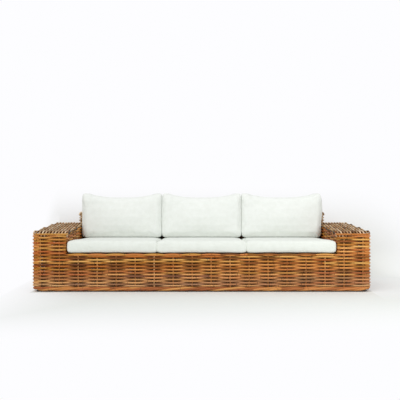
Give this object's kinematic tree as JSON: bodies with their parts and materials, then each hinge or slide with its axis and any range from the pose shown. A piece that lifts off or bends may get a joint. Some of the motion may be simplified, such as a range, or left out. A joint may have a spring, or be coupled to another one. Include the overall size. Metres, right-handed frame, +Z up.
{
  "type": "woven rattan garden sofa",
  "caption": "Long low garden sofa of woven rattan poles with broad flat arms, a low straight back and loose off-white seat and back cushions",
  "frame": {"origin": "on the floor under the middle of the sofa's box", "axes": "+X along the width, to the right seen from the front; +Y from the front to the back; +Z up"},
  "size_m": [2.8, 0.956, 0.8087],
  "materials": {
    "woven_rattan": "peeled rattan poles, lightly lacquered, satin",
    "weathered_rattan": "rattan poles greyed by weather, dull satin",
    "border_pole": "thick rattan pole, lacquered, satin",
    "frame_pole": "raw rattan pole, matt",
    "cane_webbing": "split cane bands, matt",
    "cushion_cloth": "off-white woven outdoor cloth, matt",
    "glide_plastic": "moulded nylon, matt"
  },
  "bodies": {
    "body": {"front_weave": "woven_rattan", "back_weave": "woven_rattan", "left_side_weave": "woven_rattan", "right_side_weave": "woven_rattan", "left_arm_front_weave": "woven_rattan", "right_arm_front_weave": "woven_rattan", "left_arm_inner_weave": "woven_rattan", "right_arm_inner_weave": "woven_rattan", "back_face_weave": "woven_rattan", "back_upper_weave": "woven_rattan", "left_arm_top_weave": "weathered_rattan", "right_arm_top_weave": "weathered_rattan", "back_cap_weave": "weathered_rattan", "front_border": "border_pole", "back_border": "border_pole", "left_border": "border_pole", "right_border": "border_pole", "front_lower_rail": "frame_pole", "back_lower_rail": "frame_pole", "left_lower_rail": "frame_pole", "right_lower_rail": "frame_pole", "front_seat_rail": "frame_pole", "back_seat_rail": "frame_pole", "left_seat_rail": "frame_pole", "right_seat_rail": "frame_pole", "front_left_post": "frame_pole", "front_right_post": "frame_pole", "rear_left_post": "frame_pole", "rear_right_post": "frame_pole", "left_arm_front_post": "frame_pole", "right_arm_front_post": "frame_pole", "left_arm_rear_post": "frame_pole", "right_arm_rear_post": "frame_pole", "left_arm_rail": "frame_pole", "right_arm_rail": "frame_pole", "left_back_post": "frame_pole", "right_back_post": "frame_pole", "back_middle_post": "frame_pole", "front_middle_post": "frame_pole", "back_top_rail": "frame_pole", "bearer_1": "frame_pole", "bearer_2": "frame_pole", "bearer_3": "frame_pole", "bearer_4": "frame_pole", "bearer_5": "frame_pole", "seat_deck": "cane_webbing", "glide_front_left": "glide_plastic", "glide_front_middle": "glide_plastic", "glide_front_right": "glide_plastic", "glide_rear_left": "glide_plastic", "glide_rear_middle": "glide_plastic", "glide_rear_right": "glide_plastic"},
    "left_seat": {"left_seat_cushion": "cushion_cloth"},
    "left_rest": {"left_back_cushion": "cushion_cloth"},
    "middle_seat": {"middle_seat_cushion": "cushion_cloth"},
    "middle_rest": {"middle_back_cushion": "cushion_cloth"},
    "right_seat": {"right_seat_cushion": "cushion_cloth"},
    "right_rest": {"right_back_cushion": "cushion_cloth"}
  },
  "joints": [
    {"name": "left_seat_pull", "type": "slide", "parent": "body", "child": "left_seat", "axis": [0, -0.9991, 0.0419], "range_m": [0, 0.9]},
    {"name": "left_rest_lift", "type": "slide", "parent": "body", "child": "left_rest", "axis": [0, 0, 1], "range_m": [0, 0.45]},
    {"name": "middle_seat_pull", "type": "slide", "parent": "body", "child": "middle_seat", "axis": [0, -0.9991, 0.0419], "range_m": [0, 0.9]},
    {"name": "middle_rest_lift", "type": "slide", "parent": "body", "child": "middle_rest", "axis": [0, 0, 1], "range_m": [0, 0.45]},
    {"name": "right_seat_pull", "type": "slide", "parent": "body", "child": "right_seat", "axis": [0, -0.9991, 0.0419], "range_m": [0, 0.9]},
    {"name": "right_rest_lift", "type": "slide", "parent": "body", "child": "right_rest", "axis": [0, 0, 1], "range_m": [0, 0.45]}
  ]
}
